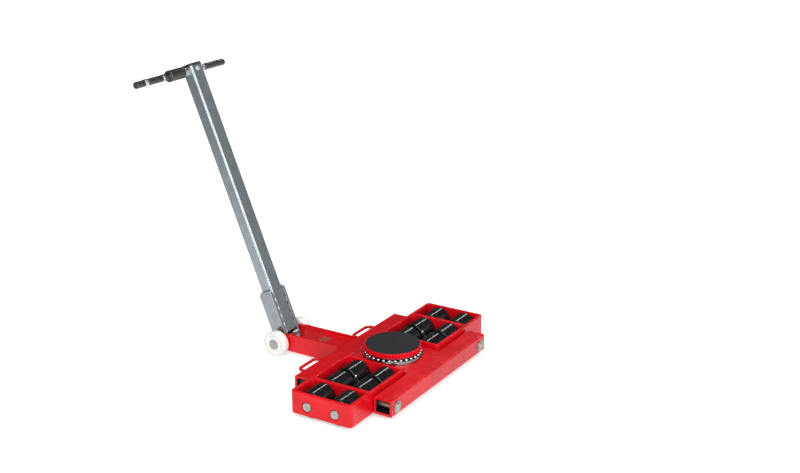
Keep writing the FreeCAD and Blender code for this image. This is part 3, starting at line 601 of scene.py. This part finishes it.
caps = []
capLow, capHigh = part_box("axle_caps")
for name, side in zip(sides, (-1, 1)):
    centre, size = middle(name + "_support_wheel")
    makePiece(name + "_wheel_turned", [wheelPatch(centre, size, side)], name + "_wheel",
              whiteNylon, [name + "_support_wheel"])
    face = (capHigh.x if side > 0 else capLow.x) - side * axleCap["length"]
    caps.append(capPatch(centre, side, face, (capHigh.z - capLow.z) / 2))
makePiece("axle_cap_pair", caps, "chassis", turnedSteel, ["axle_caps"])
print("support wheels made")


# Tow bar: everything is placed by a distance along the leaning bar, across it, and along X.
towBar = {"lean": math.radians(22.3), "width": 57 * mm, "depth": 44 * mm, "wall": 3 * mm, "corner": 9 * mm,
          "cornerSteps": 8, "start": 19 * mm, "stop": 931 * mm, "handle": 919 * mm}
pivot = jointPos["tow_bar_swing"] * (0, 1, 1)
barUp = np.array([0, math.sin(towBar["lean"]), math.cos(towBar["lean"])])
barOut = np.array([0, math.cos(towBar["lean"]), -math.sin(towBar["lean"])])


def onBar(along, x=0.0, out=0.0):
    return pivot + along * barUp + out * barOut + np.array([x, 0, 0])


def rectLoop(width, depth, radius):
    w, d = width / 2, depth / 2
    return roundCorners([(-w, -d), (w, -d), (w, d), (-w, d)], radius, towBar["cornerSteps"])


def tubePatch():
    # outer loop from bottom to top, inner loop back down, closed into a hollow wall
    outer = rectLoop(towBar["width"], towBar["depth"], towBar["corner"])
    inner = rectLoop(towBar["width"] - 2 * towBar["wall"], towBar["depth"] - 2 * towBar["wall"],
                     towBar["corner"] - towBar["wall"])
    rows = [(outer, towBar["start"]), (outer, towBar["stop"]), (inner, towBar["stop"]),
            (inner, towBar["start"])]
    pts = np.stack([pivot + a * barUp + loop[:, :1] * (1, 0, 0) + loop[:, 1:] * barOut for loop, a in rows])
    return gridPatch(pts, closeU=True, closeV=True)


makePiece("tow_tube_drawn", [tubePatch()], "tow_bar", metals["zincPlate"], ["tow_tube"])

handle = {"bar": 8 * mm, "barChamfer": 0.8 * mm, "grip": 11 * mm, "sleeve": 18.5 * mm, "neck": 11.5 * mm,
          "collar": 12 * mm, "collarEdge": 1.2 * mm, "outerCollar": 13 * mm, "innerCollar": 6 * mm,
          "tubeCollar": 24 * mm, "tubeCollarRadius": 15 * mm, "sleeveLength": 70 * mm, "sleeveRound": 4 * mm,
          "neckRound": 1 * mm, "sleeveSegments": 64, "endWall": 4 * mm, "rib": 0.3 * mm, "ribs": 7,
          "shoulder": 3 * mm, "shoulderDrop": 2.5 * mm, "gripSteps": 73, "gripSegments": 56}


def onHandle(x):
    return onBar(towBar["handle"], x)


def gripPatch(x0, x1, closedEnd):
    # sleeve with shallow ribs: radius falls by the rib depth between them, ends rounded
    length = abs(x1 - x0)
    t = np.linspace(0, 1, handle["gripSteps"])
    ripple = handle["rib"] * np.abs(np.sin(t * math.pi * handle["ribs"])) ** 0.5
    shoulder = np.clip(np.minimum(t, 1 - t) * length / handle["shoulder"], 0, 1)
    drop = handle["shoulderDrop"] * (1 - np.sqrt(1 - (1 - shoulder) ** 2))
    side = np.stack([t * length, handle["grip"] - handle["rib"] + ripple - drop], -1)
    first = (0, 0) if closedEnd else (0, handle["bar"])
    profile = [first, *side, (length, handle["bar"])]
    profile += [(handle["endWall"], handle["bar"]), (handle["endWall"], 0)] if closedEnd else []
    return turned(onHandle(x0), (1 if x1 > x0 else -1, 0, 0), profile, handle["gripSegments"],
                  closed=not closedEnd)


gripLow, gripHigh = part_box("near_grips")
collarLow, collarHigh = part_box("handle_collars")
farLow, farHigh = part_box("far_grip")
collarStop = collarLow.x + handle["outerCollar"]
sleeveStart, sleeveStop = gripHigh.x + handle["innerCollar"], -towBar["width"] / 2 - handle["tubeCollar"]
nearGrips = [gripPatch(gripLow.x, collarLow.x, True), gripPatch(collarStop, gripHigh.x, False)]
makePiece("near_grip_pair", nearGrips, "tow_bar", blackGrip, ["near_grips"])
makePiece("far_grip_sleeve", [gripPatch(farHigh.x, farLow.x, True)],
          "tow_bar", blackGrip, ["far_grip"])
collars = [ringPatch(onHandle(a), onHandle(b), r, handle["bar"], handle["collarEdge"])
           for a, b, r in ((collarLow.x, collarStop, handle["collar"]),
                           (gripHigh.x, sleeveStart, handle["collar"]),
                           (sleeveStop, collarHigh.x, handle["tubeCollarRadius"]))]
makePiece("handle_collar_set", collars, "tow_bar", metals["collarSteel"], ["handle_collars"])
handleBar = shaftPatch(onHandle(gripLow.x + handle["endWall"]), onHandle(farHigh.x - handle["endWall"]),
                       handle["bar"], handle["barChamfer"])
makePiece("handle_bar_turned", [handleBar], "tow_bar", chrome, ["handle_bar"])


def sleevePatch():
    # neck, then the thick part with rounded shoulders, closed through the bore
    length = sleeveStop - sleeveStart
    thick = length - handle["sleeveLength"]
    corners = [(0, handle["bar"]), (0, handle["neck"]), (thick, handle["neck"]), (thick, handle["sleeve"]),
               (length, handle["sleeve"]), (length, handle["bar"])]
    radii = [0, handle["neckRound"], handle["neckRound"], handle["sleeveRound"], handle["sleeveRound"], 0]
    return turned(onHandle(sleeveStart), (1, 0, 0), roundCorners(corners, radii), handle["sleeveSegments"],
                  closed=True)


makePiece("handle_sleeve_moulded", [sleevePatch()], "tow_bar", blackGrip, ["handle_sleeve"])
print("tow bar made")


# Grab loops: one round bar bent to a flat U, its ends against the front beam.
loop = {"radius": 5 * mm, "bend": 18 * mm, "bendSteps": 10, "segments": 28}
for side in sides:
    low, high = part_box(side + "_grab_loop")
    z = (low.z + high.z) / 2
    x0, x1, y1 = low.x + loop["radius"], high.x - loop["radius"], high.y - loop["radius"]
    path = roundCorners([(x0, low.y, z), (x0, y1, z), (x1, y1, z), (x1, low.y, z)], loop["bend"],
                        loop["bendSteps"], closed=False)
    bar = swept(path, ring2d(loop["radius"], loop["segments"]))
    makePiece(side + "_grab_bar", [bar], "chassis", red, [side + "_grab_loop"])
print("grab loops made")


# Weld seams: a bead that swells a little at each ripple, laid along where two plates meet.
weld = {"radius": 2.6 * mm, "ripple": 2.4 * mm, "swell": 0.10, "step": 0.7 * mm, "fewest": 8, "segments": 12,
        "taper": 3.0, "tip": 0.25, "smooth": 60}


def beadPatch(corners):
    # round section carried along the line, its size times 1 + swell*sin(ripple phase), ends drawn in
    line = np.array(corners, float)
    run = np.concatenate([[0], np.cumsum(np.linalg.norm(np.diff(line, axis=0), axis=1))])
    s = np.linspace(0, run[-1], max(weld["fewest"], int(run[-1] / weld["step"])))
    path = np.stack([np.interp(s, run, line[:, k]) for k in range(3)], -1)
    size = 1 + weld["swell"] * np.sin(tau * s / weld["ripple"])
    fromEnd = np.minimum(s, run[-1] - s)
    size *= np.clip(fromEnd / (weld["taper"] * weld["radius"]) + weld["tip"], 0, 1) ** 0.5
    d = np.abs(line[1] - line[0])
    up = (1, 0, 0) if d[2] > max(d[0], d[1]) else (0, 0, 1)
    return swept(path, ring2d(weld["radius"], weld["segments"]), up=up, scale=size)


# distances of the seams' ends and middles from the plates that they join
seam = {"bolsterEnd": 4 * mm, "bolsterOut": 1.2 * mm, "bolsterDown": 2.2 * mm, "wallEnd": 5 * mm,
        "plateRear": 4 * mm, "plateFront": 6 * mm, "plateEnd": 3 * mm, "dividerFoot": 8 * mm,
        "dividerTop": 3 * mm}
legWeld = {"out": 0.6 * mm, "wide": 0.8 * mm, "thin": 0.8, "steps": 48, "segments": 10}


def legSeam(x, y, z):
    # ring round a leg of the grab loop where it meets the beam
    around = ring2d(loop["radius"] + legWeld["wide"], legWeld["steps"])
    path = np.insert(around + (x, z), 1, y, axis=1)
    return swept(path, ring2d(weld["radius"] * legWeld["thin"], legWeld["segments"]), True, (0, 1, 0))


bolsterLow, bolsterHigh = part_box("bolster")
wallLow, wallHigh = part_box("drawbar_right_wall")
plateLow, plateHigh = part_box("drawbar_top_plate")
seamY, seamZ = bolsterHigh.y + seam["bolsterOut"], bolsterHigh.z - seam["bolsterDown"]
bolsterX = (bolsterLow.x + seam["bolsterEnd"], bolsterHigh.x - seam["bolsterEnd"])
wallZ = (beamLow.z + seam["wallEnd"], beamHigh.z - seam["wallEnd"])
plateY = (plateLow.y + seam["plateRear"], plateHigh.y - seam["plateFront"])
plateX = (plateLow.x + seam["plateEnd"], plateHigh.x - seam["plateEnd"])
lines = [[(x, s * seamY, seamZ) for x in bolsterX] for s in (-1, 1)]
lines += [[(s * wallHigh.x, beamHigh.y, z) for z in wallZ] for s in (-1, 1)]
lines += [[(s * wallLow.x, y, plateHigh.z) for y in plateY] for s in (-1, 1)]
lines.append([(x, beamHigh.y, plateHigh.z) for x in plateX])
seams = [beadPatch(line) for line in lines]
for side in sides:
    low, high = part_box(side + "_grab_loop")
    seams += [legSeam(x, beamHigh.y + legWeld["out"], (low.z + high.z) / 2)
              for x in (low.x + loop["radius"], high.x - loop["radius"])]
makePiece("chassis_weld_seams", seams, "chassis", red, smoothAngle=weld["smooth"])

for side in sides:
    low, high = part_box(side + "_unit_divider")
    foot, top = low.z + seam["dividerFoot"], high.z - seam["dividerTop"]
    beads = [beadPatch([(x, y, foot), (x, y, top)]) for x in (low.x, high.x) for y in (low.y, high.y)]
    makePiece(side + "_unit_weld_seams", beads, side + "_unit", red, smoothAngle=weld["smooth"])

# Stitch welds of the fork: in the groove between each plate's rear edge and the tube's rounded corner.
stitch = {"start": 24 * mm, "length": 21 * mm, "pitch": 28 * mm, "count": 5, "inset": 2.2 * mm,
          "sunk": 1.4 * mm}
forkSeams = []
for sign in (-1, 1):
    x, out = sign * (towBar["width"] / 2 - stitch["inset"]), stitch["sunk"] - towBar["depth"] / 2
    for k in range(stitch["count"]):
        foot = stitch["start"] + k * stitch["pitch"]
        forkSeams.append(beadPatch([onBar(foot, x, out), onBar(foot + stitch["length"], x, out)]))
makePiece("fork_weld_seams", forkSeams, "tow_bar", metals["weldZinc"],
          smoothAngle=weld["smooth"])
print("weld seams laid")


# Painted shade inside the hollow beams: a thin near-black skin seen at their open ends, standing in for the shadow
# inside the holes.
shadeSkin = {"wall": 7.5 * mm, "corner": 1.5 * mm, "cornerSteps": 4, "clear": 0.1 * mm, "skin": 0.4 * mm,
          "inset": 1.5 * mm, "reach": 140 * mm}


def shadeSkinPatch(low, high, sign):
    # square loop just inside the hole, carried inwards from the end, and a smaller loop back, closed
    y, z = (low.y + high.y) / 2, (low.z + high.z) / 2
    end = (high.x if sign > 0 else low.x) - sign * shadeSkin["inset"]
    rows = []
    for gap, depth in ((0, 0), (0, 1), (1, 1), (1, 0)):
        cut = shadeSkin["wall"] + shadeSkin["clear"] + gap * shadeSkin["skin"]
        w, h = (high.y - low.y) / 2 - cut, (high.z - low.z) / 2 - cut
        square = roundCorners([(-w, -h), (w, -h), (w, h), (-w, h)], shadeSkin["corner"], shadeSkin["cornerSteps"])
        rows.append(np.insert(square + (y, z), 0, end - sign * depth * shadeSkin["reach"], axis=1))
    return gridPatch(np.stack(rows), closeU=True, closeV=True)


shadeSkins = [shadeSkinPatch(*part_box(beam), sign) for beam in ("front_beam", "rear_beam") for sign in (-1, 1)]
# painted shade: near-black sheets where the inside of each beam lies in shadow
makePiece("beam_end_painted_shade", shadeSkins, "chassis", metals["darkSteelAndShade"])


# Grease nipples on short pipes between the roller rows; drops are measured down from the tip.
nipple = {"y": 9 * mm, "tip": 76 * mm, "pipe": 3.4 * mm, "neck": 1.9 * mm, "neckDrop": 6 * mm,
          "ball": 4.3 * mm, "ballFrom": -0.9, "ballSteps": 10, "hex": 5.0 * mm, "hexFoot": 10 * mm,
          "hexTop": 6.4 * mm, "coneDrop": 5.9 * mm, "cone": 1.5 * mm, "segments": 24}


def nipplePatches(x, y, foot, tip):
    # pipe and ball turned about the vertical, six-sided collar between them
    h = tip - foot
    t = np.linspace(nipple["ballFrom"], math.pi / 2, nipple["ballSteps"])
    ball = np.stack([h - nipple["ball"] + nipple["ball"] * np.sin(t), nipple["ball"] * np.cos(t)], -1)
    neck, hexFoot, cone = h - nipple["neckDrop"], h - nipple["hexFoot"], h - nipple["coneDrop"]
    pipe = [(0, 0), (0, nipple["pipe"]), (neck, nipple["pipe"]), (neck, nipple["neck"]), *ball]
    collar = [(hexFoot, 0), (hexFoot, nipple["hex"]), (h - nipple["hexTop"], nipple["hex"]),
              (cone, nipple["cone"]), (cone, 0)]
    return [turned((x, y, foot), (0, 0, 1), pipe, nipple["segments"]),
            turned((x, y, foot), (0, 0, 1), collar, 6)]


for side in sides:
    low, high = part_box(side + "_unit_web")
    made = nipplePatches((low.x + high.x) / 2, nipple["y"], high.z, floorZ + nipple["tip"])
    makePiece(side + "_grease_nipple", made, side + "_unit", chrome)

# Rivets of the blank plate: low domes near its corners.
rivet = {"inset": 4.5 * mm, "head": 2.2 * mm, "rise": 0.55, "steps": 7, "segments": 20}
low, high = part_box("rating_plate")
t = np.linspace(0, math.pi / 2, rivet["steps"])
dome = np.stack([rivet["head"] * rivet["rise"] * np.sin(t), rivet["head"] * np.cos(t)], -1)
rivets = [turned((x, y, high.z), (0, 0, 1), [(0, 0), *dome], rivet["segments"])
          for x in (low.x + rivet["inset"], high.x - rivet["inset"])
          for y in (low.y + rivet["inset"], high.y - rivet["inset"])]
makePiece("rating_plate_rivets", rivets, "chassis", turnedSteel)

# Hexagon bolt that holds the handle bar, on the tube's rear face, over a washer.
bolt = {"across": 6.8 * mm, "head": 5 * mm, "chamfer": 0.8 * mm, "crownShare": 0.86, "washer": 8.0 * mm,
        "washerThick": 1.2 * mm, "washerSegments": 40, "smooth": 20}
face = onBar(towBar["handle"], 0, -towBar["depth"] / 2)
seat = bolt["washerThick"]
hexHead = [(seat, 0), (seat, bolt["across"]), (bolt["head"] - bolt["chamfer"], bolt["across"]),
           (bolt["head"], bolt["across"] * bolt["crownShare"]), (bolt["head"], 0)]
washer = [(0, 0), (0, bolt["washer"]), (seat, bolt["washer"]), (seat, 0)]
makePiece("handle_bolt_hex",
          [turned(face, -barOut, hexHead, 6), turned(face, -barOut, washer, bolt["washerSegments"])],
          "tow_bar", metals["collarSteel"], ["handle_bolt"], smoothAngle=bolt["smooth"])
print("small fittings made")


# Camera at the photograph's place, measured from the pad's centre.
view = {"place": (-3.2797, -2.0032, 1.6697), "azimuth": -58.92, "elevation": 18.96, "lens": 60.107,
        "sensor": 36.0, "farthest": 50.0}


def placeCamera():
    a, e = math.radians(view["azimuth"]), math.radians(view["elevation"])
    look = Vector((-math.sin(a) * math.cos(e), math.cos(a) * math.cos(e), -math.sin(e)))
    data = bpy.data.cameras.new("photoCamera")
    data.sensor_width, data.lens = view["sensor"], view["lens"]
    data.clip_end = view["farthest"]
    cam = bpy.data.objects.new("photoCamera", data)
    bpy.context.scene.collection.objects.link(cam)
    cam.location = view["place"]
    cam.rotation_mode = "QUATERNION"
    cam.rotation_quaternion = look.to_track_quat("-Z", "Y")
    bpy.context.scene.camera = cam


placeCamera()


# Studio: wide pale floor that reads white, a horizon that reads white, a dim ceiling above it.
studio = {"floorSize": 60.0, "floorColour": 0.80, "floorRough": 0.9, "floorGlow": 0.50, "farGlow": 1.0,
          "farMirror": 0.12, "glowFrom": 0.9, "glowTo": 3.0, "fill": 0.28, "far": 0.14, "farFrom": -0.1,
          "farTo": 0.3}
# brightness mirrored from the room, and the height (sine of the elevation) where it is reached
skyline = [(1.0, 0.0), (0.40, 0.07), (0.40, 0.38), (0.08, 0.52)]


def lightPathWhite(tree):
    # 1 for rays that come straight from the camera, or by a mirror or glass
    path = node(tree, "ShaderNodeLightPath")
    first = node(tree, "ShaderNodeMath", operation="MAXIMUM")
    tree.links.new(path.outputs["Is Camera Ray"], first.inputs[0])
    tree.links.new(path.outputs["Is Glossy Ray"], first.inputs[1])
    second = node(tree, "ShaderNodeMath", operation="MAXIMUM")
    tree.links.new(first.outputs[0], second.inputs[0])
    tree.links.new(path.outputs["Is Transmission Ray"], second.inputs[1])
    return second.outputs[0], path.outputs["Is Camera Ray"]


def buildFloor():
    # glow by distance from the pad: to the camera it rises to white, in reflections it falls off
    mat, tree, shader = startMaterial("studioFloor")
    shader.inputs["Base Color"].default_value = (*[studio["floorColour"]] * 3, 1)
    shader.inputs["Roughness"].default_value = studio["floorRough"]
    shader.inputs["Specular IOR Level"].default_value = 0.0
    glow = node(tree, "ShaderNodeEmission")
    glow.inputs["Color"].default_value = (1, 1, 1, 1)
    away = node(tree, "ShaderNodeVectorMath", operation="LENGTH")
    tree.links.new(coords(tree), away.inputs[0])
    reach = (studio["glowFrom"], studio["glowTo"])
    white, camera = lightPathWhite(tree)
    level = node(tree, "ShaderNodeMix")
    tree.links.new(camera, level.inputs[0])
    for socket, far in ((2, studio["farMirror"]), (3, studio["farGlow"])):
        ramp = remap(tree, away.outputs["Value"], studio["floorGlow"], far, *reach)
        tree.links.new(ramp, level.inputs[socket])
    strength = node(tree, "ShaderNodeMath", operation="MULTIPLY")
    tree.links.new(white, strength.inputs[0])
    tree.links.new(level.outputs[0], strength.inputs[1])
    tree.links.new(strength.outputs[0], glow.inputs["Strength"])
    both = node(tree, "ShaderNodeAddShader")
    tree.links.new(shader.outputs[0], both.inputs[0])
    tree.links.new(glow.outputs[0], both.inputs[1])
    tree.links.new(both.outputs[0], tree.nodes["Material Output"].inputs["Surface"])
    edge = np.linspace(-studio["floorSize"] / 2, studio["floorSize"] / 2, 3)
    grid = np.stack(np.meshgrid(edge, edge, [floorZ], indexing="ij"), -1)[:, :, 0]
    pts, quads, _ = gridPatch(grid)
    mesh = bpy.data.meshes.new("studioFloor")
    mesh.from_pydata(pts.tolist(), [], quads.tolist())
    mesh.materials.append(mat)
    floor = bpy.data.objects.new("studioFloor", mesh)
    bpy.context.scene.collection.objects.link(floor)
    floor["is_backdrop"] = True


def buildWorld():
    # strength: 1 to the camera; in reflections the skyline by height, dimmer on the far side; else fill
    world = bpy.data.worlds.new("studioWorld")
    bpy.context.scene.world = world
    world.use_nodes = True
    tree = world.node_tree
    back = tree.nodes["Background"]
    back.inputs["Color"].default_value = (1, 1, 1, 1)
    split = node(tree, "ShaderNodeSeparateXYZ")
    tree.links.new(node(tree, "ShaderNodeTexCoord").outputs["Generated"], split.inputs[0])
    levels = blendColours(tree, split.outputs["Z"], [(g, g, g) for g, h in skyline], [h for g, h in skyline])
    side = remap(tree, split.outputs["Y"], 1.0, studio["far"], studio["farFrom"], studio["farTo"])
    seen = node(tree, "ShaderNodeMath", operation="MULTIPLY")
    tree.links.new(levels, seen.inputs[0])
    tree.links.new(side, seen.inputs[1])
    white, camera = lightPathWhite(tree)
    mirrored = node(tree, "ShaderNodeMix")
    tree.links.new(white, mirrored.inputs[0])
    mirrored.inputs[2].default_value = studio["fill"]
    tree.links.new(seen.outputs[0], mirrored.inputs[3])
    final = node(tree, "ShaderNodeMix")
    tree.links.new(camera, final.inputs[0])
    tree.links.new(mirrored.outputs[0], final.inputs[2])
    final.inputs[3].default_value = 1.0
    tree.links.new(final.outputs[0], back.inputs["Strength"])


# name, place, width and height in metres, power in watts, point looked at
lamps = [("stripLamp", (2.9, 1.0, 2.05), 2.8, 0.13, 17.0, (2.9, 0.0, 0.0)),
         ("sideLamp", (-2.3, -0.5, 2.3), 1.6, 1.2, 35.0, (0.0, 0.0, 0.0)),
         ("frontLamp", (-0.9, -2.7, 1.65), 3.2, 2.2, 62.0, (0.0, 0.1, 0.3)),
         ("cornerLamp", (-2.78, -0.57, 0.80), 1.33, 1.7, 19.0, (0.0, 0.55, 0.4)),
         ("catchLamp", (-2.04, -2.20, 1.25), 0.14, 1.3, 6.0, (0.0, 0.0, 0.0)),
         ("topLamp", (-0.4, 0.1, 3.2), 2.0, 2.0, 17.0, (0.0, 0.0, 0.0))]
overhead = 0.95


def lampAcross(name, look):
    # direction of the width: along X for the strip, level for the others, square to Y if nearly overhead
    if name == "stripLamp":
        return Vector((1, 0, 0))
    return look.cross(Vector((0, 0, 1)) if abs(look.z) < overhead else Vector((0, 1, 0)))


def placeLamps():
    for name, place, width, height, power, target in lamps:
        data = bpy.data.lights.new(name, "AREA")
        data.shape, data.size, data.size_y, data.energy = "RECTANGLE", width, height, power
        lamp = bpy.data.objects.new(name, data)
        bpy.context.scene.collection.objects.link(lamp)
        look = (Vector(target) - Vector(place)).normalized()
        up = lampAcross(name, look).cross(look).normalized()
        across = look.cross(up)
        lamp.matrix_world = Matrix((across, up, -look)).transposed().to_4x4()
        lamp.location = place


buildFloor()
buildWorld()
placeLamps()
bpy.context.scene.view_settings.view_transform = "Standard"
print("studio ready")

low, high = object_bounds()
